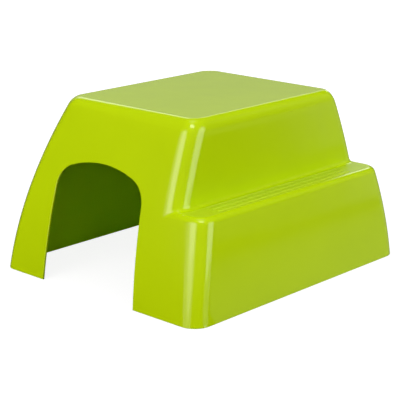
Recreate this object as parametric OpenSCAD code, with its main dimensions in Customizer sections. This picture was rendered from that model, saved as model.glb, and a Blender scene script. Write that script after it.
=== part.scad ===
// A moulded hide for guinea pigs: one thin plastic hood, open at the bottom,
// with an arched doorway in front and a ribbed step along the right side.
// The origin is at the middle of the base, +Z is up and the doorway faces -Y.

/* [House] */
// Width across the base
house_w = 230; // [210:1:260]
// Depth along the base
house_d = 262; // [240:1:300]
// Height of the roof
house_h = 150; // [140:1:170]
// Thickness of the plastic
wall = 2; // [1.6:0.1:2.6]

/* [Walls] */
// Straight lean of the left wall, measured at the roof
left_lean = 20.8; // [15:0.1:26]
// Extra lean of the left wall from its bulge
left_bow = 24; // [15:0.5:28]
// Straight lean of the front wall
front_lean = 15.6; // [10:0.1:22]
// Extra lean of the front wall from its bulge
front_bow = 22.3; // [14:0.1:28]
// Straight lean of the back wall
back_lean = 19.1; // [12:0.1:24]
// Extra lean of the back wall from its bulge
back_bow = 27.2; // [14:0.1:32]
// Plan radius of the two left corners
hood_corner_r = 17.6; // [13:0.1:24]
// Radius of the rounded rim of the roof
roof_edge_r = 9; // [5:0.5:11]

/* [Step] */
// Height of the step above the floor
step_h = 82; // [72:1:92]
// Distance of the step's back from the right edge of the base
step_in = 34.7; // [30:0.1:42]
// Straight lean of the wall under the step, measured at the roof
step_lean = 6.9; // [4:0.1:10]
// Extra lean of the wall under the step from its bulge
step_bow = 14; // [8:0.5:18]
// Plan radius of the step's two corners
step_corner_r = 14.9; // [12:0.1:20]
// Radius of the step's rounded edge
step_edge_r = 4.4; // [3.5:0.1:7]
// Lean of the wall above the step
riser_lean = 1.2; // [0.5:0.1:3]
// Plan radius of the two corners above the step
riser_corner_r = 12.7; // [12:0.1:16]

/* [Doorway] */
// Middle of the doorway, from the middle of the base
door_x = -7; // [-12:0.5:-2]
// Width of the doorway at the floor
door_w = 107.4; // [90:0.1:112]
// Height of the doorway
door_h = 104.8; // [90:0.1:114]
// Narrowing of the doorway, each side, from the floor to the arch
door_taper = 3.8; // [1:0.1:5]
// Radius of the arch at its two shoulders
door_shoulder_r = 21.5; // [12:0.5:32]
// Radius of the flatter crown of the arch
door_crown_r = 107; // [80:1:250]

/* [Ribs] */
// How many ribs the step has
rib_count = 3; // [2:1:5]
// Width of a rib
rib_w = 1.8; // [1.2:0.1:2.4]
// Height of a rib
rib_h = 0.6; // [0.4:0.1:0.8]
// Length of a rib
rib_len = 166; // [120:1:180]
// Middle of the ribs along the step
rib_y = -5; // [-10:1:10]
// Distance of the outermost rib from the step's rounded edge
rib_edge_gap = 4.1; // [2:0.1:5]
// Distance of the innermost rib from the wall above the step
rib_foot_gap = 5; // [3:0.1:8]

/* [Hidden] */
lime = "#b4d00a";
corner_steps = 8;
edge_steps = 5;
low_steps = 8;
high_steps = 7;
$fn = 96;

// Heights: where the step's rounded edge starts and where the roof's rim starts
step_foot_z = step_h - step_edge_r;
roof_foot_z = house_h - roof_edge_r;
low_rows = [for (k = [0:low_steps]) step_foot_z * k / low_steps];
high_rows = concat(
    [step_foot_z],
    [for (k = [0:high_steps]) step_h + (roof_foot_z - step_h) * k / high_steps]
);
wall_rows = concat([for (k = [0:low_steps - 1]) low_rows[k]], high_rows);

// How far a wall has come in at height z
function come_in(z, lean, bow) = lean * z / house_h + bow * pow(z / house_h, 2);
function left_x(z) = -house_w / 2 + come_in(z, left_lean, left_bow);
function front_y(z) = -house_d / 2 + come_in(z, front_lean, front_bow);
function back_y(z) = house_d / 2 - come_in(z, back_lean, back_bow);
function step_x(z) = house_w / 2 - come_in(z, step_lean, step_bow);
function riser_x(z) = house_w / 2 - step_in - riser_lean * (z - step_h) / (house_h - step_h);

// A quarter circle that starts at angle a
function corner(x, y, r, a, z) = [
    for (k = [0:corner_steps]) let (t = a + 90 * k / corner_steps)
        [x + r * cos(t), y + r * sin(t), z]
];

// The two right corners, then the two left corners, of the outline whose right side is at x
function right_corners(z, x, r, inset) = concat(
    corner(x - r, front_y(z) + r, r - inset, -90, z),
    corner(x - r, back_y(z) - r, r - inset, 0, z)
);
function left_corners(z, inset) = concat(
    corner(left_x(z) + hood_corner_r, back_y(z) - hood_corner_r, hood_corner_r - inset, 90, z),
    corner(left_x(z) + hood_corner_r, front_y(z) + hood_corner_r, hood_corner_r - inset, 180, z)
);
function step_right(z, inset) = right_corners(z, step_x(z), step_corner_r, inset);
function riser_right(z, inset) = right_corners(z, riser_x(z), riser_corner_r, inset);
function step_ring(z, inset) = concat(step_right(z, inset), left_corners(z, inset));
function hood_ring(z, inset) = concat(riser_right(z, inset), left_corners(z, inset));

// Height and inset along a rounded edge of radius r that starts at height z
function edge_z(z, r, k) = z + r * sin(90 * k / edge_steps);
function edge_in(r, k) = r * (1 - cos(90 * k / edge_steps));

// Faces between rows of n points; a ring closes on itself, a strip does not
function row_faces(rows, n, first, closed) = [
    for (r = [0:rows - 2], c = [0:n - (closed ? 1 : 2)])
        let (a = first + r * n + c, b = first + r * n + (c + 1) % n)
            [a + n, b + n, b, a]
];
function turned(faces) = [for (f = faces) [f[3], f[2], f[1], f[0]]];
function flat(rows) = [for (r = rows, p = r) p];

// A solid that fills the rings, from the first up to the last
module filled(rings) {
    n = len(rings[0]);
    top = (len(rings) - 1) * n;
    polyhedron(flat(rings), concat(
        row_faces(len(rings), n, 0, true),
        [[for (c = [0:n - 1]) c]],
        [[for (c = [n - 1:-1:0]) top + c]]
    ));
}

// A strip of wall between an outer and an inner set of rows
module strip(outer, inner) {
    n = len(outer[0]);
    m = len(outer);
    half = m * n;
    top = half - n;
    polyhedron(concat(flat(outer), flat(inner)), concat(
        row_faces(m, n, 0, false),
        turned(row_faces(m, n, half, false)),
        [for (c = [0:n - 2]) [c, c + 1, half + c + 1, half + c]],
        [for (c = [0:n - 2]) [top + c + 1, top + c, half + top + c, half + top + c + 1]],
        [for (r = [0:m - 2]) [r * n, half + r * n, half + r * n + n, r * n + n]],
        [for (r = [0:m - 2]) let (a = r * n + n - 1) [a, a + n, half + a + n, half + a]]
    ));
}

// A lid with a rounded rim, hollow underneath
module lid(outer, inner) {
    n = len(outer[0]);
    m = len(outer);
    half = m * n;
    top = half - n;
    polyhedron(concat(flat(outer), flat(inner)), concat(
        row_faces(m, n, 0, true),
        turned(row_faces(m, n, half, true)),
        [for (c = [0:n - 1]) let (d = (c + 1) % n) [c, d, half + d, half + c]],
        [[for (c = [n - 1:-1:0]) top + c]],
        [[for (c = [0:n - 1]) half + top + c]]
    ));
}

// A wall that runs along X: its side profile, cut to the outline seen from the front
module long_wall(y_out, inward) {
    last = len(wall_rows) - 1;
    intersection() {
        rotate([90, 0, 90])
            linear_extrude(house_w, center = true)
                polygon(concat(
                    [for (k = [0:last]) [y_out[k], wall_rows[k]]],
                    [for (k = [last:-1:0]) [y_out[k] + inward * wall, wall_rows[k]]]
                ));
        rotate([90, 0, 0])
            linear_extrude(house_d, center = true)
                wall_outline();
    }
}

// The outline of the front and back walls, stepped on the right, between the rounded corners
module wall_outline() {
    last = len(wall_rows) - 1;
    polygon(concat(
        [for (z = low_rows) [step_x(z) - step_corner_r, z]],
        [for (z = high_rows) [riser_x(z) - riser_corner_r, z]],
        [for (k = [last:-1:0]) [left_x(wall_rows[k]) + hood_corner_r, wall_rows[k]]]
    ));
}

// The doorway: tapered jambs under an arch of two shoulders and a flatter crown
module doorway() {
    half_w = door_w / 2 - door_taper;
    shoulder_x = half_w - door_shoulder_r;
    crown_z = door_h - door_crown_r;
    drop = sqrt(pow(door_crown_r - door_shoulder_r, 2) - pow(shoulder_x, 2));
    door_spring = crown_z + drop;
    reach = 2 * door_crown_r / drop;
    translate([door_x, 0]) {
        polygon([
            [-door_w / 2, -wall], [door_w / 2, -wall], [door_w / 2, 0],
            [half_w, door_spring], [-half_w, door_spring], [-door_w / 2, 0]
        ]);
        for (side = [-1, 1])
            translate([side * shoulder_x, door_spring])
                circle(door_shoulder_r);
        intersection() {
            translate([0, crown_z])
                circle(door_crown_r);
            polygon([
                [0, crown_z],
                [shoulder_x * reach, crown_z + drop * reach],
                [-shoulder_x * reach, crown_z + drop * reach]
            ]);
        }
    }
}

// The flat roof with its rounded rim
module roof_panel() {
    color(lime)
        lid(
            [for (k = [0:edge_steps]) let (z = edge_z(roof_foot_z, roof_edge_r, k))
                hood_ring(z, edge_in(roof_edge_r, k))],
            [for (k = [0:edge_steps]) let (z = edge_z(roof_foot_z, roof_edge_r - wall, k))
                hood_ring(z, wall + edge_in(roof_edge_r - wall, k))]
        );
}

// The wall with the arched doorway
module front_wall() {
    color(lime)
        difference() {
            long_wall([for (z = wall_rows) front_y(z)], 1);
            rotate([90, 0, 0])
                linear_extrude(house_d)
                    doorway();
        }
}

// The closed wall opposite the doorway
module back_wall() {
    color(lime)
        long_wall([for (z = wall_rows) back_y(z)], -1);
}

// The bulging left wall with its two rounded corners
module left_wall() {
    color(lime)
        strip(
            [for (z = wall_rows) left_corners(z, 0)],
            [for (z = wall_rows) left_corners(z, wall)]
        );
}

// The wall under the step with its two rounded corners
module step_wall() {
    color(lime)
        strip(
            [for (z = low_rows) step_right(z, 0)],
            [for (z = low_rows) step_right(z, wall)]
        );
}

// The space under the step's top, near the wall above the step
module under_step() {
    filled(concat(
        [step_ring(step_foot_z - step_edge_r, wall)],
        [for (k = [0:edge_steps]) let (z = edge_z(step_foot_z, step_edge_r - wall, k))
            step_ring(z, wall + edge_in(step_edge_r - wall, k))]
    ));
}

// The wall above the step with its two rounded corners
module riser_wall() {
    color(lime)
        difference() {
            strip(
                [for (z = high_rows) riser_right(z, 0)],
                [for (z = high_rows) riser_right(z, wall)]
            );
            under_step();
        }
}

// The flat of the step with its rounded edge, up to the wall above it
module step_tread() {
    low_z = step_foot_z - step_edge_r;
    color(lime)
        difference() {
            lid(
                [for (k = [0:edge_steps]) let (z = edge_z(step_foot_z, step_edge_r, k))
                    step_ring(z, edge_in(step_edge_r, k))],
                [for (k = [0:edge_steps]) let (z = edge_z(step_foot_z, step_edge_r - wall, k))
                    step_ring(z, wall + edge_in(step_edge_r - wall, k))]
            );
            filled([for (z = concat([low_z], [for (k = [0:2]) high_rows[k]])) hood_ring(z, 0)]);
        }
}

// Low round-topped ribs along the step, in one row
module tread_ribs() {
    rib_r = (pow(rib_w / 2, 2) + pow(rib_h, 2)) / (2 * rib_h);
    first_x = step_x(step_h) - step_edge_r - rib_edge_gap;
    last_x = riser_x(step_h) + rib_foot_gap;
    rib_pitch = (first_x - last_x) / (rib_count - 1);
    color(lime)
        for (k = [0:rib_count - 1])
            translate([first_x - k * rib_pitch, rib_y, step_h])
                rotate([90, 0, 0])
                    linear_extrude(rib_len, center = true)
                        intersection() {
                            translate([0, rib_h - rib_r])
                                circle(rib_r);
                            translate([-rib_w, 0])
                                square([2 * rib_w, rib_w]);
                        }
}

roof_panel();
front_wall();
back_wall();
left_wall();
riser_wall();
step_tread();
step_wall();
tread_ribs();
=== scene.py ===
import math

import bpy
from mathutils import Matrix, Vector


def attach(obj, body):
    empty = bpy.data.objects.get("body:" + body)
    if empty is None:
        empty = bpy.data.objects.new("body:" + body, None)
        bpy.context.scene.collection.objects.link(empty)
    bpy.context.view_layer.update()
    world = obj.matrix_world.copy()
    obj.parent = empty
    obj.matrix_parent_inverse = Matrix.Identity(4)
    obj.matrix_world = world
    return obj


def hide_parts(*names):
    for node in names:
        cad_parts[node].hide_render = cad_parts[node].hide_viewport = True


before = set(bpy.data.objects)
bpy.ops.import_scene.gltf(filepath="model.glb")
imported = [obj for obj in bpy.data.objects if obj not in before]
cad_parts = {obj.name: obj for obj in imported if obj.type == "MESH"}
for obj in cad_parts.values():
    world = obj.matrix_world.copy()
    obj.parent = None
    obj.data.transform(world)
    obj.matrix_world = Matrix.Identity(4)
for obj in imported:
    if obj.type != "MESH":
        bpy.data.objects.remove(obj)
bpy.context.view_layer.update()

# The photograph's view: a long lens a little above the roof, turned towards the corner
# between the doorway and the step.
view_azimuth = math.radians(42.854)
view_elevation = math.radians(15.513)
view_distance = 1.1305
view_target = Vector((0.0, 0.0, 0.060))
view_way = Vector((
    math.sin(view_azimuth) * math.cos(view_elevation),
    -math.cos(view_azimuth) * math.cos(view_elevation),
    math.sin(view_elevation),
))
photo_lens = bpy.data.cameras.new("photo_camera")
photo_lens.sensor_width = 36.0
photo_lens.lens = 117.45
photo_lens.shift_x = -0.0054
photo_lens.shift_y = -0.0172
photo_lens.clip_start = 0.01
photo_camera = bpy.data.objects.new("photo_camera", photo_lens)
photo_camera.location = view_target + view_distance * view_way
photo_camera.rotation_euler = view_way.to_track_quat("Z", "Y").to_euler()
bpy.context.scene.collection.objects.link(photo_camera)
bpy.context.scene.camera = photo_camera

# The hood: one thin shell of glossy lime polypropylene, pressed in a single mould and open below.
# The CAD divides it into zones along its own edges. Each zone is a closed piece here too, and the
# pieces share their border points and normals, so the shell looks as seamless as the moulding is.
mm = 0.001
house_w, house_d, house_h, wall = 230.0, 262.0, 150.0, 2.0
step_h, step_in, step_edge_r, step_corner_r = 82.0, 34.7, 4.4, 14.9
riser_lean, riser_foot_r = 1.2, 3.5
hood_corner_r, roof_edge_r, cut_edge_r = 17.6, 9.0, 0.5
step_foot = step_h - step_edge_r
roof_foot = house_h - roof_edge_r

# How far each wall leans in and bows in on its way up.
left_lean, left_bow = 20.8, 24.0
front_lean, front_bow = 15.6, 22.3
back_lean, back_bow = 19.1, 27.2
step_lean, step_bow = 6.9, 14.0

# Width and height of the roof's rim: a tight round on the left, a taller oval on the right.
rim_left, rim_right = (6.5, 6.5), (7.0, 12.0)


def come_in(z, lean, bow):
    return lean * z / house_h + bow * (z / house_h) ** 2


def left_x(z):
    return come_in(z, left_lean, left_bow) - house_w / 2


def front_y(z):
    return come_in(z, front_lean, front_bow) - house_d / 2


def back_y(z):
    return house_d / 2 - come_in(z, back_lean, back_bow)


def step_x(z):
    return house_w / 2 - come_in(z, step_lean, step_bow)


def riser_x(z):
    return house_w / 2 - step_in - riser_lean * (z - step_h) / (house_h - step_h)


def rim_in(z, skin, share):
    """How far the roof's rim has come in at height z; share is 0 on the left and 1 on the right."""
    rim_w, rim_h = mix(rim_left, rim_right, share)
    rise = max(0.0, z - house_h + rim_h) / (rim_h - skin)
    return (rim_w - skin) * (1 - math.sqrt(max(0.0, 1 - rise ** 2)))


def mix(a, b, share):
    return tuple(p + (q - p) * share for p, q in zip(a, b))


def spread(a, b, count):
    return [a + (b - a) * k / count for k in range(count + 1)]


# Columns of the right-hand side, from the front tangent of the upper corner to the back one:
# the nose where the step runs out into that corner, the short front, the corner and the side.
# Rows: the low wall, the step's edge, its flat, the hollow at its back, the upper wall, the rim.
nose_n, front_n, corner_n, side_n = 10, 5, 14, 20
low_n, up_n, edge_n, tread_n, foot_n, rim_n = 22, 18, 8, 6, 6, 10
half_right = nose_n + front_n + corner_n
right_n = 2 * half_right + side_n
low_z = spread(cut_edge_r, step_foot, low_n)
up_z = spread(step_foot, roof_foot, up_n)

# The upper corner turns tighter at the front than at the side; at the back it is one plain round.
turn_change = math.radians(55)
front_turn, back_turn = (12.0, 19.0), (12.7, 12.7)


def turn_reach(radii):
    """How far an upper corner reaches along the front or back, and along the side."""
    first_r, side_r = radii
    along_front = side_r + (first_r - side_r) * math.sin(turn_change)
    return (along_front, first_r + (side_r - first_r) * math.cos(turn_change))


def nose_reach(first_r, skin):
    return math.sqrt((first_r - skin) ** 2 - (first_r - step_edge_r) ** 2)


def low_point(c, z, inset, skin):
    """Column c on the lower outline, which runs round the step."""
    at_back = c > half_right + side_n
    k = right_n - c if at_back else c
    y, turn = (back_y(z), -1) if at_back else (front_y(z), 1)
    radii = back_turn if at_back else front_turn
    nose_x = riser_x(z) - turn_reach(radii)[0]
    corner_x = step_x(z) - step_corner_r
    first_x = nose_x + nose_reach(radii[0], skin)
    if k <= nose_n:
        return (nose_x + nose_reach(radii[0], skin) * k / nose_n, y + turn * inset, z)
    if k <= nose_n + front_n:
        return (first_x + (corner_x - first_x) * (k - nose_n) / front_n, y + turn * inset, z)
    if k <= half_right:
        angle = math.pi / 2 * (k - nose_n - front_n) / corner_n
        r = step_corner_r - inset
        x = corner_x + r * math.sin(angle)
        return (x, y + turn * (step_corner_r - r * math.cos(angle)), z)
    ends = front_y(z) + step_corner_r, back_y(z) - step_corner_r
    return (step_x(z) - inset, ends[0] + (ends[1] - ends[0]) * (k - half_right) / side_n, z)


def up_angle(k, first_r, skin):
    """How far column k has turned round the upper corner."""
    nose_turn = math.asin(nose_reach(first_r, skin) / (first_r - skin))
    if k <= nose_n:
        return math.asin(math.sin(nose_turn) * k / nose_n)
    return nose_turn + (math.pi / 2 - nose_turn) * (k - nose_n) / (front_n + corner_n)


def up_point(c, z, inset, skin):
    """Column c on the upper outline, which runs round the wall above the step."""
    at_back = c > half_right + side_n
    k = right_n - c if at_back else c
    y, turn = (back_y(z), -1) if at_back else (front_y(z), 1)
    if k <= half_right:
        radii = back_turn if at_back else front_turn
        first_r, side_r = radii
        reach_x, reach_y = turn_reach(radii)
        angle = up_angle(k, first_r, skin)
        if angle <= turn_change:
            x = riser_x(z) - reach_x + (first_r - inset) * math.sin(angle)
            return (x, y + turn * (first_r - (first_r - inset) * math.cos(angle)), z)
        x = riser_x(z) - side_r + (side_r - inset) * math.sin(angle)
        return (x, y + turn * (reach_y - (side_r - inset) * math.cos(angle)), z)
    ends = front_y(z) + turn_reach(front_turn)[1], back_y(z) - turn_reach(back_turn)[1]
    return (riser_x(z) - inset, ends[0] + (ends[1] - ends[0]) * (k - half_right) / side_n, z)


def right_column(c, skin):
    """One column of the right-hand side: up the low wall, over the step's rounded edge, across its
    flat, round the hollow fillet at its back and up the wall above."""
    column = [low_point(c, z, skin, skin) for z in low_z]
    edge_r = step_edge_r - skin
    at_back = c > half_right + side_n
    k, first_r = (right_n - c, back_turn[0]) if at_back else (c, front_turn[0])
    edge_turn = math.pi / 2
    if k < nose_n:
        sunk = (first_r - skin) * (1 - math.cos(up_angle(k, first_r, skin)))
        edge_turn = math.acos(max(0.0, 1 - sunk / edge_r))
    edge_len = edge_r * edge_turn

    def over_edge(turn):
        z = step_foot + edge_r * math.sin(turn)
        return low_point(c, z, skin + edge_r * (1 - math.cos(turn)), skin)

    edge_end = over_edge(edge_turn)
    foot = up_point(c, edge_end[2], skin, skin)
    tread_len = math.dist(edge_end, foot)
    reach = min(riser_foot_r + skin, 0.5 * (edge_len + tread_len))
    last = edge_len + tread_len - reach

    def along(s):
        if s <= edge_len or tread_len < 1e-6:
            return over_edge(min(s / edge_r, edge_turn))
        return mix(edge_end, foot, (s - edge_len) / tread_len)

    bend = min(edge_len, last)
    column += [along(bend * i / edge_n) for i in range(1, edge_n + 1)]
    column += [along(bend + (last - bend) * i / tread_n) for i in range(1, tread_n + 1)]
    start, end = along(last), up_point(c, foot[2] + reach, skin, skin)
    for i in range(1, foot_n + 1):
        share = i / foot_n
        column.append(mix(mix(start, foot, share), mix(foot, end, share), share))
    rows = spread(end[2], roof_foot, up_n)[1:]
    return column + [up_point(c, z, skin + rim_in(z, skin, 1.0), skin) for z in rows]


# Columns of the rest: the back, the left wall with its two corners, and along the front.
back_n, left_n, top_n, leg_n = 20, 20, 32, 12
round_n = back_n + 2 * corner_n + left_n

# The left corners turn tighter at their two ends than in the middle: from, to, radius.
left_turns = [(0.0, 30.0, 8.0), (30.0, 60.0, 25.7), (60.0, 90.0, 8.0)]
left_turns = [(math.radians(a), math.radians(b), r) for a, b, r in left_turns]


def left_turn(k, inset):
    """How far point k of a left corner lies from the left wall and from the front or back."""
    if k in (0, corner_n):
        return (hood_corner_r, inset) if k == 0 else (inset, hood_corner_r)
    angle = math.pi / 2 * (k - 1) / (corner_n - 2)
    from_left = sum(r * (math.sin(b) - math.sin(max(a, min(angle, b)))) for a, b, r in left_turns)
    from_end = sum(r * (math.cos(a) - math.cos(max(a, min(angle, b)))) for a, b, r in left_turns)
    return (from_left + inset * math.sin(angle), from_end + inset * math.cos(angle))


def round_point(c, z, inset):
    """Column c from the back tangent of the upper corner, round the left wall to the front."""
    if c <= back_n:
        ends = riser_x(z) - turn_reach(back_turn)[0], left_x(z) + hood_corner_r
        return (ends[0] + (ends[1] - ends[0]) * c / back_n, back_y(z) - inset, z)
    if c <= back_n + corner_n:
        from_left, from_end = left_turn(c - back_n, inset)
        return (left_x(z) + from_left, back_y(z) - from_end, z)
    if c <= back_n + corner_n + left_n:
        ends = back_y(z) - hood_corner_r, front_y(z) + hood_corner_r
        share = (c - back_n - corner_n) / left_n
        return (left_x(z) + inset, ends[0] + (ends[1] - ends[0]) * share, z)
    from_left, from_end = left_turn(round_n - c, inset)
    return (left_x(z) + from_left, front_y(z) + from_end, z)


def back_share(c):
    return max(0.0, 1 - c / back_n)


# The doorway: tapered jambs under an arch of two shoulders and a flatter crown.
door_x, door_w, door_h, door_taper = -7.0, 107.4, 104.8, 3.8
door_shoulder_r, door_crown_r = 21.5, 107.0
shoulder_points = 1.6
door_half = door_w / 2 - door_taper
shoulder_x = door_half - door_shoulder_r
crown_drop = math.sqrt((door_crown_r - door_shoulder_r) ** 2 - shoulder_x ** 2)
door_spring = door_h - door_crown_r + crown_drop
crown_turn = math.asin(shoulder_x / (door_crown_r - door_shoulder_r))
jamb_n = low_n + up_n
door_n = 2 * jamb_n + top_n


def door_point(u, grow):
    """Point u of the doorway's outline in the plane of the front, grown into the wall. The tight
    shoulders take more points than their length."""
    k = min(u, door_n - u)
    side = -1 if u <= door_n / 2 else 1
    jamb_len = math.hypot(door_taper, door_spring)
    shoulder_turn = math.pi / 2 - crown_turn
    shoulder_len = shoulder_points * door_shoulder_r * shoulder_turn
    lengths = (jamb_len, shoulder_len, door_crown_r * crown_turn)
    s = sum(lengths) * k / (door_n / 2)
    if k == 0:
        x, z = door_w / 2 + grow, grow
    elif s <= lengths[0]:
        share = s / lengths[0]
        x = door_w / 2 - door_taper * share + grow * door_spring / jamb_len
        z = door_spring * share + grow * door_taper / jamb_len
    elif s <= lengths[0] + lengths[1]:
        angle = (s - lengths[0]) / lengths[1] * shoulder_turn
        x = shoulder_x + (door_shoulder_r + grow) * math.cos(angle)
        z = door_spring + (door_shoulder_r + grow) * math.sin(angle)
    else:
        angle = crown_turn * (sum(lengths) - s) / lengths[2]
        x = (door_crown_r + grow) * math.sin(angle)
        z = door_h - door_crown_r + (door_crown_r + grow) * math.cos(angle)
    return (door_x + side * x, z)


def frame_point(u, low):
    """Point u of the front wall's border: up its left, along under the roof, down its right."""
    if u <= jamb_n:
        z = low if u == 0 else (low_z + up_z[1:])[u]
        return (left_x(z) + hood_corner_r, z)
    if u <= jamb_n + top_n:
        ends = left_x(roof_foot) + hood_corner_r, riser_x(roof_foot) - turn_reach(front_turn)[0]
        return (ends[0] + (ends[1] - ends[0]) * (u - jamb_n) / top_n, roof_foot)
    z = low if u == door_n else (low_z + up_z[1:])[door_n - u]
    return (riser_x(z) - turn_reach(front_turn)[0], z)


def front_point(u, t, grow, inset):
    x, z = mix(door_point(u, grow), frame_point(u, grow), t / leg_n)
    share = min(1.0, max(0.0, (u - jamb_n) / top_n))
    return (x, front_y(z) + inset + rim_in(z, inset, share), z)


def roof_ring(z, skin):
    ring = [up_point(c, z, skin + rim_in(z, skin, 1.0), skin) for c in range(right_n)]
    ring += [round_point(c, z, skin + rim_in(z, skin, back_share(c))) for c in range(round_n)]
    ends = left_x(z) + hood_corner_r, riser_x(z) - turn_reach(front_turn)[0]
    for k, x in enumerate(spread(ends[0], ends[1], top_n)):
        ring.append((x, front_y(z) + skin + rim_in(z, skin, k / top_n), z))
    return ring


# The faces of the shell, zone by zone: an outer and an inner skin, the rounded cut edges at the
# floor and the doorway, and the hidden ends where two zones meet.
zones = (
    "roof_panel", "front_wall", "back_wall", "left_wall", "riser_wall", "step_tread", "step_wall")
shell_points, point_at = [], {}
skin_faces = {zone: [] for zone in zones}
end_faces = {zone: [] for zone in zones}
open_edges = {zone: {} for zone in zones}
inner_points = set()


def corner_of(p):
    key = tuple(round(v, 4) for v in p)
    if key not in point_at:
        point_at[key] = len(shell_points)
        shell_points.append(Vector(p))
    return point_at[key]


def add_face(faces, loop):
    loop = [p for k, p in enumerate(loop) if p != loop[k - 1]]
    if len(loop) > 2:
        faces.append(loop)


def add_sheet(outer, inner, zone_of):
    pairs = [[(corner_of(p), corner_of(q)) for p, q in zip(a, b)] for a, b in zip(outer, inner)]
    inner_points.update(q for row in pairs for p, q in row)
    for c in range(len(pairs) - 1):
        for r in range(len(pairs[0]) - 1):
            zone = zone_of(c, r)
            cell = [pairs[c][r], pairs[c + 1][r], pairs[c + 1][r + 1], pairs[c][r + 1]]
            add_face(skin_faces[zone], [p[0] for p in cell])
            add_face(skin_faces[zone], [p[1] for p in reversed(cell)])
            for a, b in zip(cell, cell[1:] + cell[:1]):
                if a != b and not open_edges[zone].pop((b, a), None):
                    open_edges[zone][(a, b)] = True


def right_zone(c, r):
    k = min(c, right_n - 1 - c)
    if r >= low_n + edge_n + tread_n:
        return "riser_wall"
    if r >= low_n:
        return "step_tread"
    if k >= nose_n + front_n:
        return "step_wall"
    return "front_wall" if c < half_right else "back_wall"


def round_zone(c, r):
    return "back_wall" if c < back_n else "left_wall"


add_sheet(
    [right_column(c, 0.0) for c in range(right_n + 1)],
    [right_column(c, wall) for c in range(right_n + 1)], right_zone)
add_sheet(*[
    [[round_point(c, z, skin + rim_in(z, skin, back_share(c))) for z in low_z + up_z[1:]]
     for c in range(round_n + 1)]
    for skin in (0.0, wall)], round_zone)
add_sheet(*[
    [[front_point(u, t, cut_edge_r, skin) for t in range(leg_n + 1)] for u in range(door_n + 1)]
    for skin in (0.0, wall)], lambda c, r: "front_wall")
roof_rings = []
for skin in (0.0, wall):
    roof_rings.append([
        roof_ring(roof_foot + (roof_edge_r - skin) * math.sin(a), skin)
        for a in spread(0.0, math.pi / 2, rim_n)])
add_sheet(
    *[[list(column) for column in zip(*rings)] for rings in roof_rings],
    lambda c, r: "roof_panel")
skin_faces["roof_panel"].append([corner_of(p) for p in roof_rings[0][-1][:-1]])
skin_faces["roof_panel"].append([corner_of(p) for p in reversed(roof_rings[1][-1][:-1])])

cut_n = 3
cut_profile = [
    (cut_edge_r * (1 - math.sin(a)), cut_edge_r * (1 - math.cos(a)))
    for a in spread(0, math.pi / 2, cut_n)]
cut_profile += [(grow, wall - inset) for grow, inset in reversed(cut_profile)]
cut_loop = [
    (right_zone(c, 0), [low_point(c, grow, inset, inset) for grow, inset in cut_profile])
    for c in range(right_n)]
cut_loop += [
    (round_zone(c, 0), [round_point(c, grow, inset) for grow, inset in cut_profile])
    for c in range(round_n)]
leg_stations = [(0, t) for t in range(leg_n, 0, -1)]
leg_stations += [(u, 0) for u in range(door_n)]
leg_stations += [(door_n, t) for t in range(leg_n)]
cut_loop += [
    ("front_wall", [front_point(u, t, grow, inset) for grow, inset in cut_profile])
    for u, t in leg_stations]
cut_loop = [(zone, [corner_of(p) for p in profile]) for zone, profile in cut_loop]
for (zone, here), (next_zone, there) in zip(cut_loop, cut_loop[1:] + cut_loop[:1]):
    for k in range(len(here) - 1):
        add_face(skin_faces[zone], [there[k], here[k], here[k + 1], there[k + 1]])
    open_edges[zone].pop(((here[0], here[-1]), (there[0], there[-1])))
    if next_zone != zone:
        end_faces[zone].append(there)
        end_faces[next_zone].append(there[::-1])
for zone in zones:
    for a, b in open_edges[zone]:
        add_face(end_faces[zone], [b[0], a[0], a[1], b[1]])

shell_normals = [Vector() for p in shell_points]
for zone in zones:
    for loop in skin_faces[zone]:
        area = Vector()
        for a, b in zip(loop, loop[1:] + loop[:1]):
            area += shell_points[a].cross(shell_points[b])
        for p in loop:
            shell_normals[p] += area

# The hood's finish: lime polypropylene with a high gloss. The colour drifts very slightly where the
# melt flowed. The inner skin carries painted light: a brighter, greener colour that stands in for
# light coming through the thin wall. The polished mould leaves a faint long wave and a fine grain
# in the reflections, and the top of the step is satin, which fades out where its edge turns down.
satin_fade = 60.0
lime_plastic = bpy.data.materials.new("lime_plastic")
lime_plastic.use_nodes = True
nodes, links = lime_plastic.node_tree.nodes, lime_plastic.node_tree.links
gloss = nodes["Principled BSDF"]
gloss.inputs["Specular IOR Level"].default_value = 0.56
place = nodes.new("ShaderNodeTexCoord")
flow = nodes.new("ShaderNodeTexNoise")
flow.inputs["Scale"].default_value = 14.0
flow.inputs["Detail"].default_value = 3.0
links.new(place.outputs["Object"], flow.inputs["Vector"])
tint = nodes.new("ShaderNodeValToRGB")
tint.color_ramp.elements[0].position = 0.3
tint.color_ramp.elements[0].color = (0.445, 0.618, 0.0010, 1.0)
tint.color_ramp.elements[1].position = 0.7
tint.color_ramp.elements[1].color = (0.467, 0.644, 0.0014, 1.0)
links.new(flow.outputs["Fac"], tint.inputs["Fac"])
inside = nodes.new("ShaderNodeAttribute")
inside.attribute_name = "inside"
# Painted light: the inner skin is made brighter and greener, standing in for light through the
# wall.
inside_painted_light = nodes.new("ShaderNodeMix")
inside_painted_light.data_type = "RGBA"
inside_painted_light.blend_type = "MULTIPLY"
inside_painted_light.inputs["B"].default_value = (0.93, 1.20, 1.0, 1.0)
links.new(inside.outputs["Fac"], inside_painted_light.inputs["Factor"])
links.new(tint.outputs["Color"], inside_painted_light.inputs["A"])
links.new(inside_painted_light.outputs["Result"], gloss.inputs["Base Color"])
grain = nodes.new("ShaderNodeTexNoise")
grain.inputs["Scale"].default_value = 900.0
grain.inputs["Detail"].default_value = 2.0
links.new(place.outputs["Object"], grain.inputs["Vector"])
shine = nodes.new("ShaderNodeMapRange")
shine.inputs["To Min"].default_value = 0.10
shine.inputs["To Max"].default_value = 0.15
links.new(grain.outputs["Fac"], shine.inputs["Value"])
trodden = nodes.new("ShaderNodeAttribute")
trodden.attribute_name = "satin"
satin = nodes.new("ShaderNodeMath")
satin.operation = "MULTIPLY_ADD"
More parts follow.
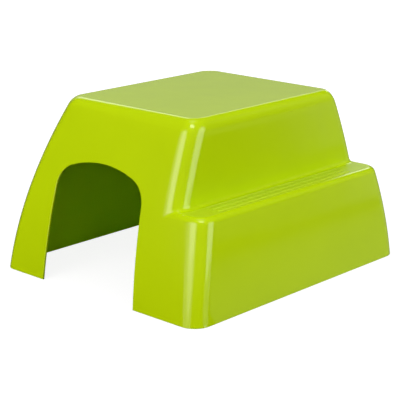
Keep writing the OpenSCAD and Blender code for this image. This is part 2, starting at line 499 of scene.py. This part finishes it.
satin.inputs[1].default_value = 0.30
links.new(trodden.outputs["Fac"], satin.inputs[0])
links.new(shine.outputs["Result"], satin.inputs[2])
links.new(satin.outputs[0], gloss.inputs["Roughness"])
wave = nodes.new("ShaderNodeTexNoise")
wave.inputs["Scale"].default_value = 38.0
wave.inputs["Detail"].default_value = 1.0
links.new(place.outputs["Object"], wave.inputs["Vector"])
wave_bump = nodes.new("ShaderNodeBump")
wave_bump.inputs["Strength"].default_value = 0.10
wave_bump.inputs["Distance"].default_value = 0.002
links.new(wave.outputs["Fac"], wave_bump.inputs["Height"])
grain_bump = nodes.new("ShaderNodeBump")
grain_bump.inputs["Strength"].default_value = 0.06
grain_bump.inputs["Distance"].default_value = 0.0001
links.new(grain.outputs["Fac"], grain_bump.inputs["Height"])
links.new(wave_bump.outputs["Normal"], grain_bump.inputs["Normal"])
links.new(grain_bump.outputs["Normal"], gloss.inputs["Normal"])

for zone in zones:
    used = sorted({p for loop in skin_faces[zone] + end_faces[zone] for p in loop})
    number = {p: k for k, p in enumerate(used)}
    mesh = bpy.data.meshes.new(zone + "_moulding")
    mesh.from_pydata(
        [shell_points[p] * mm for p in used], [],
        [[number[p] for p in loop] for loop in skin_faces[zone] + end_faces[zone]])
    mesh.materials.append(lime_plastic)
    inside_mark = mesh.attributes.new("inside", "FLOAT", "POINT")
    inside_mark.data.foreach_set("value", [float(p in inner_points) for p in used])
    satin_mark = mesh.attributes.new("satin", "FLOAT", "POINT")
    if zone == "step_tread":
        upward = [shell_normals[p].normalized().z for p in used]
        satin_mark.data.foreach_set("value", [max(0.0, 1 - satin_fade * (1 - n)) for n in upward])
    normals = [shell_normals[p].normalized() for loop in skin_faces[zone] for p in loop]
    for polygon, loop in zip(mesh.polygons[len(skin_faces[zone]):], end_faces[zone]):
        normals += [polygon.normal.copy() for p in loop]
    mesh.normals_split_custom_set(normals)
    piece = bpy.data.objects.new(zone + "_moulding", mesh)
    bpy.context.scene.collection.objects.link(piece)
    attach(piece, "root")
    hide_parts(zone)

# The ribs: three fine half-round lines along the step for grip, moulded with the hood.
# They repeat at one pitch and round off at both ends.
rib_tree = bpy.data.node_groups.new("tread_ribs", "GeometryNodeTree")
rib_sockets = {}
for name, kind, value in (
    ("Count", "NodeSocketInt", 3),
    ("Pitch", "NodeSocketFloat", 6.62 * mm),
    ("Length", "NodeSocketFloat", 166.0 * mm),
    ("Width", "NodeSocketFloat", 1.8 * mm),
    ("Height", "NodeSocketFloat", 0.6 * mm),
    ("First rib", "NodeSocketVector", (98.54 * mm, -5.0 * mm, step_h * mm)),
):
    socket = rib_tree.interface.new_socket(name, in_out="INPUT", socket_type=kind)
    rib_sockets[socket.identifier] = value
rib_tree.interface.new_socket("Ribs", in_out="OUTPUT", socket_type="NodeSocketGeometry")
gn, gl = rib_tree.nodes, rib_tree.links
sizes = gn.new("NodeGroupInput")
result = gn.new("NodeGroupOutput")


def rib_math(operation, a, b=None):
    node = gn.new("ShaderNodeMath")
    node.operation = operation
    for socket, value in zip(node.inputs, (a, b)):
        if isinstance(value, (int, float)):
            socket.default_value = value
        elif value is not None:
            gl.new(value, socket)
    return node.outputs[0]


half_len = rib_math("MULTIPLY", sizes.outputs["Length"], 0.5)
half_w = rib_math("MULTIPLY", sizes.outputs["Width"], 0.5)
near_end, far_end = gn.new("ShaderNodeCombineXYZ"), gn.new("ShaderNodeCombineXYZ")
gl.new(rib_math("MULTIPLY", half_len, -1.0), near_end.inputs["Y"])
gl.new(half_len, far_end.inputs["Y"])
spine = gn.new("GeometryNodeCurvePrimitiveLine")
gl.new(near_end.outputs[0], spine.inputs["Start"])
gl.new(far_end.outputs[0], spine.inputs["End"])
stations = gn.new("GeometryNodeResampleCurve")
stations.inputs["Count"].default_value = 400
gl.new(spine.outputs[0], stations.inputs["Curve"])
where = gn.new("GeometryNodeInputPosition")
parts = gn.new("ShaderNodeSeparateXYZ")
gl.new(where.outputs[0], parts.inputs[0])
straight_half = rib_math("SUBTRACT", half_len, half_w)
past = rib_math("SUBTRACT", rib_math("ABSOLUTE", parts.outputs["Y"]), straight_half)
past = rib_math("MINIMUM", rib_math("MAXIMUM", rib_math("DIVIDE", past, half_w), 0.0), 0.999)
round_end = rib_math("SQRT", rib_math("SUBTRACT", 1.0, rib_math("MULTIPLY", past, past)))
taper = gn.new("GeometryNodeSetCurveRadius")
gl.new(stations.outputs[0], taper.inputs["Curve"])
gl.new(round_end, taper.inputs["Radius"])
section = gn.new("GeometryNodeCurvePrimitiveCircle")
section.inputs["Resolution"].default_value = 16
section.inputs["Radius"].default_value = 1.0
bar = gn.new("GeometryNodeCurveToMesh")
gl.new(taper.outputs[0], bar.inputs["Curve"])
gl.new(section.outputs["Curve"], bar.inputs["Profile Curve"])
bar.inputs["Fill Caps"].default_value = True
shape = gn.new("ShaderNodeCombineXYZ")
gl.new(half_w, shape.inputs["X"])
shape.inputs["Y"].default_value = 1.0
gl.new(sizes.outputs["Height"], shape.inputs["Z"])
low_bar = gn.new("GeometryNodeTransform")
gl.new(bar.outputs[0], low_bar.inputs["Geometry"])
gl.new(shape.outputs[0], low_bar.inputs["Scale"])
step_over = gn.new("ShaderNodeCombineXYZ")
gl.new(rib_math("MULTIPLY", sizes.outputs["Pitch"], -1.0), step_over.inputs["X"])
row = gn.new("GeometryNodeMeshLine")
gl.new(sizes.outputs["Count"], row.inputs["Count"])
gl.new(sizes.outputs["First rib"], row.inputs["Start Location"])
gl.new(step_over.outputs[0], row.inputs["Offset"])
copies = gn.new("GeometryNodeInstanceOnPoints")
gl.new(row.outputs[0], copies.inputs["Points"])
gl.new(low_bar.outputs[0], copies.inputs["Instance"])
real = gn.new("GeometryNodeRealizeInstances")
gl.new(copies.outputs[0], real.inputs[0])
smooth = gn.new("GeometryNodeSetShadeSmooth")
gl.new(real.outputs[0], smooth.inputs["Geometry"])
finish = gn.new("GeometryNodeSetMaterial")
finish.inputs["Material"].default_value = lime_plastic
gl.new(smooth.outputs[0], finish.inputs["Geometry"])
gl.new(finish.outputs[0], result.inputs[0])

rib_maker = bpy.data.objects.new("rib_maker", bpy.data.meshes.new("rib_maker"))
bpy.context.scene.collection.objects.link(rib_maker)
rib_modifier = rib_maker.modifiers.new("ribs", "NODES")
rib_modifier.node_group = rib_tree
for identifier, value in rib_sockets.items():
    rib_modifier[identifier] = value
made = rib_maker.evaluated_get(bpy.context.evaluated_depsgraph_get())
rib_mesh = bpy.data.meshes.new_from_object(made)
rib_mesh.name = "tread_ribs_moulding"
satin_mark = rib_mesh.attributes.new("satin", "FLOAT", "POINT")
satin_mark.data.foreach_set("value", [1.0] * len(rib_mesh.vertices))
bpy.data.objects.remove(rib_maker)
ribs = bpy.data.objects.new("tread_ribs_moulding", rib_mesh)
bpy.context.scene.collection.objects.link(ribs)
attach(ribs, "root")
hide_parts("tread_ribs")

# The floor: a plain white sheet under the house. It shows the camera its own white with a soft
# shadow near the house, and runs out into the white behind. It throws light back mostly from under
# the house, and from below it is clear, so that the inside shows.
floor_half = 3.0
floor_corners = [(-1, -1), (1, -1), (1, 1), (-1, 1)]
floor_mesh = bpy.data.meshes.new("studio_floor")
floor_mesh.from_pydata(
    [(x * floor_half, y * floor_half, 0) for x, y in floor_corners], [], [(0, 1, 2, 3)])
floor = bpy.data.objects.new("studio_floor", floor_mesh)
bpy.context.scene.collection.objects.link(floor)
floor_white = bpy.data.materials.new("floor_white")
floor_white.use_nodes = True
nodes, links = floor_white.node_tree.nodes, floor_white.node_tree.links
nodes.remove(nodes["Principled BSDF"])
ray = nodes.new("ShaderNodeLightPath")
matt = nodes.new("ShaderNodeBsdfDiffuse")
faint = nodes.new("ShaderNodeBsdfDiffuse")
faint.inputs["Color"].default_value = (0.2, 0.2, 0.2, 1.0)
place = nodes.new("ShaderNodeTexCoord")
reach = nodes.new("ShaderNodeVectorMath")
reach.operation = "LENGTH"
links.new(place.outputs["Object"], reach.inputs[0])
fade = nodes.new("ShaderNodeMapRange")
fade.interpolation_type = "SMOOTHSTEP"
fade.inputs["From Min"].default_value = 0.16
fade.inputs["From Max"].default_value = 0.55
fade.inputs["To Min"].default_value = 0.88
fade.inputs["To Max"].default_value = 1.0
links.new(reach.outputs["Value"], fade.inputs["Value"])
from_sheet = nodes.new("ShaderNodeVectorMath")
from_sheet.operation = "DISTANCE"
from_sheet.inputs[1].default_value = (-0.05, 0.06, 0.0)
links.new(place.outputs["Object"], from_sheet.inputs[0])
sheet = nodes.new("ShaderNodeMapRange")
sheet.interpolation_type = "SMOOTHSTEP"
sheet.inputs["From Min"].default_value = 0.12
sheet.inputs["From Max"].default_value = 0.18
sheet.inputs["To Min"].default_value = 1.0
sheet.inputs["To Max"].default_value = 0.12
links.new(from_sheet.outputs["Value"], sheet.inputs["Value"])
links.new(sheet.outputs["Result"], matt.inputs["Color"])
own = nodes.new("ShaderNodeEmission")
links.new(fade.outputs["Result"], own.inputs["Strength"])
shown = nodes.new("ShaderNodeAddShader")
links.new(faint.outputs[0], shown.inputs[0])
links.new(own.outputs[0], shown.inputs[1])
choose = nodes.new("ShaderNodeMixShader")
links.new(ray.outputs["Is Camera Ray"], choose.inputs["Fac"])
links.new(matt.outputs[0], choose.inputs[1])
links.new(shown.outputs[0], choose.inputs[2])
face = nodes.new("ShaderNodeNewGeometry")
clear = nodes.new("ShaderNodeBsdfTransparent")
one_sided = nodes.new("ShaderNodeMixShader")
links.new(face.outputs["Backfacing"], one_sided.inputs["Fac"])
links.new(choose.outputs[0], one_sided.inputs[1])
links.new(clear.outputs[0], one_sided.inputs[2])
links.new(one_sided.outputs[0], nodes["Material Output"].inputs["Surface"])
floor_mesh.materials.append(floor_white)
floor.visible_glossy = False

# The studio's walls: a ring round the house that only the gloss of the plastic sees. It is grey to
# the right and behind, black elsewhere and towards the floor, and darker again high up.
ring_r, ring_low, ring_top, ring_n = 2.2, -1.6, 8.2, 36
ring_turns = [math.radians(360 / ring_n * k) for k in range(ring_n)]
wall_ring = [(ring_r * math.cos(a), ring_r * math.sin(a)) for a in ring_turns]
ring_faces = [
    (k, (k + 1) % ring_n, ring_n + (k + 1) % ring_n, ring_n + k) for k in range(ring_n)]
walls_mesh = bpy.data.meshes.new("studio_walls")
walls_mesh.from_pydata(
    [(x, y, z) for z in (ring_low, ring_top) for x, y in wall_ring], [],
    ring_faces + [tuple(range(ring_n))])
walls = bpy.data.objects.new("studio_walls", walls_mesh)
bpy.context.scene.collection.objects.link(walls)
wall_grey = bpy.data.materials.new("wall_grey")
wall_grey.use_nodes = True
nodes, links = wall_grey.node_tree.nodes, wall_grey.node_tree.links
nodes.remove(nodes["Principled BSDF"])
place = nodes.new("ShaderNodeTexCoord")
bearing = nodes.new("ShaderNodeTexGradient")
bearing.gradient_type = "RADIAL"
links.new(place.outputs["Object"], bearing.inputs["Vector"])
grey = nodes.new("ShaderNodeValToRGB")
grey.color_ramp.elements[0].color = (0.0, 0.0, 0.0, 1.0)
grey.color_ramp.elements[1].color = (0.0, 0.0, 0.0, 1.0)
right_end, back_start = 95, 112
for azimuth, shade in (
    (46.5, 0.0), (49.5, 0.05), (53, 0.44), (75, 0.38), (right_end, 0.06),
    (back_start, 0.12), (122, 0.36), (148, 0.37), (165, 0.03),
):
    stop = grey.color_ramp.elements.new(0.5 + azimuth / 360)
    stop.color = (shade, shade, shade, 1.0)
links.new(bearing.outputs["Fac"], grey.inputs["Fac"])
wall_parts = nodes.new("ShaderNodeSeparateXYZ")
links.new(place.outputs["Object"], wall_parts.inputs[0])
rise = nodes.new("ShaderNodeMapRange")
rise.interpolation_type = "SMOOTHSTEP"
rise.inputs["From Min"].default_value = -0.8
rise.inputs["From Max"].default_value = -0.3
links.new(wall_parts.outputs["Z"], rise.inputs["Value"])
sink = nodes.new("ShaderNodeMapRange")
sink.interpolation_type = "SMOOTHSTEP"
sink.inputs["From Min"].default_value = 1.1
sink.inputs["From Max"].default_value = 1.7
sink.inputs["To Min"].default_value = 1.0
sink.inputs["To Max"].default_value = 0.1
links.new(wall_parts.outputs["Z"], sink.inputs["Value"])
band = nodes.new("ShaderNodeMath")
band.operation = "MULTIPLY"
links.new(rise.outputs["Result"], band.inputs[0])
links.new(sink.outputs["Result"], band.inputs[1])
low_part = nodes.new("ShaderNodeMapRange")
low_part.interpolation_type = "SMOOTHSTEP"
low_part.inputs["From Min"].default_value = 0.0
low_part.inputs["From Max"].default_value = 0.6
low_part.inputs["To Min"].default_value = 1.0
low_part.inputs["To Max"].default_value = 0.5
links.new(wall_parts.outputs["Z"], low_part.inputs["Value"])
behind = nodes.new("ShaderNodeMapRange")
behind.inputs["From Min"].default_value = 0.5 + right_end / 360
behind.inputs["From Max"].default_value = 0.5 + back_start / 360
links.new(bearing.outputs["Fac"], behind.inputs["Value"])
height_share = nodes.new("ShaderNodeMath")
height_share.operation = "MAXIMUM"
links.new(low_part.outputs["Result"], height_share.inputs[0])
links.new(behind.outputs["Result"], height_share.inputs[1])
shaded = nodes.new("ShaderNodeMath")
shaded.operation = "MULTIPLY"
links.new(grey.outputs["Color"], shaded.inputs[0])
links.new(height_share.outputs[0], shaded.inputs[1])
level = nodes.new("ShaderNodeMath")
level.operation = "MULTIPLY"
links.new(shaded.outputs[0], level.inputs[0])
links.new(band.outputs[0], level.inputs[1])
glow = nodes.new("ShaderNodeEmission")
links.new(level.outputs[0], glow.inputs["Strength"])
links.new(glow.outputs[0], nodes["Material Output"].inputs["Surface"])
walls_mesh.materials.append(wall_grey)
walls.visible_camera = False
walls.visible_diffuse = False
walls.visible_transmission = False
walls.visible_shadow = False

# The table top, in two patches that only the gloss of the plastic sees: one beside the step, which
# the wall under the step mirrors, and one towards the right-hand softbox, where its streak ends.
beside_step = [(0.113, -0.11, 0), (0.36, 0.086, 0), (0.36, 0.5, 0), (0.113, 0.5, 0)]
before_lamp = [(0.122, -0.121, 0), (0.66, -0.15, 0), (0.66, 0.21, 0), (0.122, -0.111, 0)]
for name, corners, brightness, slope_way, fade_from in (
    ("studio_table", beside_step, 0.44, (-1.2, 0.5, 0.0), 0.25),
    ("studio_table_front", before_lamp, 0.62, (0.0, 0.0, 0.0), 0.56),
):
    table_mesh = bpy.data.meshes.new(name)
    table_mesh.from_pydata(corners, [], [(0, 1, 2, 3)])
    table = bpy.data.objects.new(name, table_mesh)
    bpy.context.scene.collection.objects.link(table)
    table_grey = bpy.data.materials.new(name + "_grey")
    table_grey.use_nodes = True
    nodes, links = table_grey.node_tree.nodes, table_grey.node_tree.links
    nodes.remove(nodes["Principled BSDF"])
    place = nodes.new("ShaderNodeTexCoord")
    slope = nodes.new("ShaderNodeVectorMath")
    slope.operation = "DOT_PRODUCT"
    slope.inputs[1].default_value = slope_way
    links.new(place.outputs["Object"], slope.inputs[0])
    shade = nodes.new("ShaderNodeMath")
    shade.inputs[1].default_value = brightness
    links.new(slope.outputs["Value"], shade.inputs[0])
    table_parts = nodes.new("ShaderNodeSeparateXYZ")
    links.new(place.outputs["Object"], table_parts.inputs[0])
    far_side = nodes.new("ShaderNodeMapRange")
    far_side.interpolation_type = "SMOOTHSTEP"
    far_side.inputs["From Min"].default_value = fade_from
    far_side.inputs["From Max"].default_value = corners[1][0]
    far_side.inputs["To Min"].default_value = 1.0
    far_side.inputs["To Max"].default_value = 0.0
    links.new(table_parts.outputs["X"], far_side.inputs["Value"])
    level = nodes.new("ShaderNodeMath")
    level.operation = "MULTIPLY"
    links.new(shade.outputs[0], level.inputs[0])
    links.new(far_side.outputs["Result"], level.inputs[1])
    glow = nodes.new("ShaderNodeEmission")
    links.new(level.outputs[0], glow.inputs["Strength"])
    links.new(glow.outputs[0], nodes["Material Output"].inputs["Surface"])
    table_mesh.materials.append(table_grey)
    table.visible_camera = False
    table.visible_diffuse = False
    table.visible_transmission = False
    table.visible_shadow = False

# The room: soft light from above, and some from the right, for the plastic's own colour. The camera
# and the gloss see plain white instead.
studio = bpy.data.worlds.new("studio")
bpy.context.scene.world = studio
studio.use_nodes = True
nodes, links = studio.node_tree.nodes, studio.node_tree.links
room = nodes["Background"]
room.inputs["Color"].default_value = (1, 1, 1, 1)
sky_way = nodes.new("ShaderNodeTexCoord")
sky_parts = nodes.new("ShaderNodeSeparateXYZ")
links.new(sky_way.outputs["Generated"], sky_parts.inputs[0])
overhead = nodes.new("ShaderNodeMapRange")
overhead.inputs["To Min"].default_value = 0.16
overhead.inputs["To Max"].default_value = 0.97
links.new(sky_parts.outputs["Z"], overhead.inputs["Value"])
from_right = nodes.new("ShaderNodeMapRange")
from_right.inputs["To Max"].default_value = 0.62
links.new(sky_parts.outputs["X"], from_right.inputs["Value"])
all_round = nodes.new("ShaderNodeMath")
links.new(overhead.outputs["Result"], all_round.inputs[0])
links.new(from_right.outputs["Result"], all_round.inputs[1])
links.new(all_round.outputs[0], room.inputs["Strength"])
backdrop = nodes.new("ShaderNodeBackground")
backdrop.inputs["Color"].default_value = (1, 1, 1, 1)
backdrop.inputs["Strength"].default_value = 1.0
ray = nodes.new("ShaderNodeLightPath")
seen = nodes.new("ShaderNodeMath")
seen.operation = "MAXIMUM"
links.new(ray.outputs["Is Camera Ray"], seen.inputs[0])
links.new(ray.outputs["Is Glossy Ray"], seen.inputs[1])
clear = nodes.new("ShaderNodeMath")
clear.operation = "MAXIMUM"
links.new(seen.outputs[0], clear.inputs[0])
links.new(ray.outputs["Is Transmission Ray"], clear.inputs[1])
choose = nodes.new("ShaderNodeMixShader")
links.new(clear.outputs[0], choose.inputs["Fac"])
links.new(room.outputs[0], choose.inputs[1])
links.new(backdrop.outputs[0], choose.inputs[2])
links.new(choose.outputs[0], nodes["World Output"].inputs["Surface"])

# The lamps. Two tall softboxes draw the streaks on the corners, the left one brighter towards its
# middle and top. A lamp above the camera puts the dot on the roof's corner, two strips behind the
# line on its rim, a small card the dash on the step's far edge, a panel the sheen of the low wall.
house_middle = Vector((0, 0, 0.08))
white, warm = (1.0, 1.0, 1.0), (1.0, 0.92, 0.9)


def softbox(name, azimuth, elevation, distance, width, height, radiance,
            tint=white, gloss_only=False, turn=0.0):
    """An oval panel that faces the house; azimuth turns from +X towards +Y."""
    lamp = bpy.data.lights.new(name, "AREA")
    lamp.shape = "ELLIPSE"
    lamp.size, lamp.size_y = width, height
    lamp.energy = radiance * width * height * math.pi ** 2 / 4
    lamp.color = tint
    way = Vector((
        math.cos(math.radians(azimuth)) * math.cos(math.radians(elevation)),
        math.sin(math.radians(azimuth)) * math.cos(math.radians(elevation)),
        math.sin(math.radians(elevation)),
    ))
    box = bpy.data.objects.new(name, lamp)
    box.location = house_middle + distance * way
    box.rotation_euler = way.to_track_quat("Z", "Y").to_euler()
    box.rotation_euler.rotate_axis("Z", math.radians(turn))
    box.visible_diffuse = not gloss_only
    bpy.context.scene.collection.objects.link(box)


softbox("softbox_left", -95, 9, 1.5, 1.7, 2.0, 1.10, warm)
softbox("softbox_left_middle", -87, 13, 1.45, 0.9, 1.18, 1.5, warm)
softbox("softbox_left_upper", -87, 23.5, 1.45, 0.9, 1.09, 1.25, warm)
softbox("softbox_right", 14, 6, 1.5, 0.95, 1.47, 2.75)
softbox("lamp_top", -42, 57, 1.6, 0.8, 0.36, 6.5, gloss_only=True, turn=-35)
softbox("strip_behind", 148, 31, 1.7, 0.8, 0.6, 1.75)
softbox("strip_behind_right", 120, 28, 1.7, 0.75, 0.55, 1.0)
softbox("card_behind_step", 94, 23, 0.397, 0.08, 0.06, 2.8, gloss_only=True)
softbox("panel_right", 50, -4.9, 2.05, 0.9, 0.30, 0.14, gloss_only=True)

view = bpy.context.scene.view_settings
view.view_transform = "Standard"
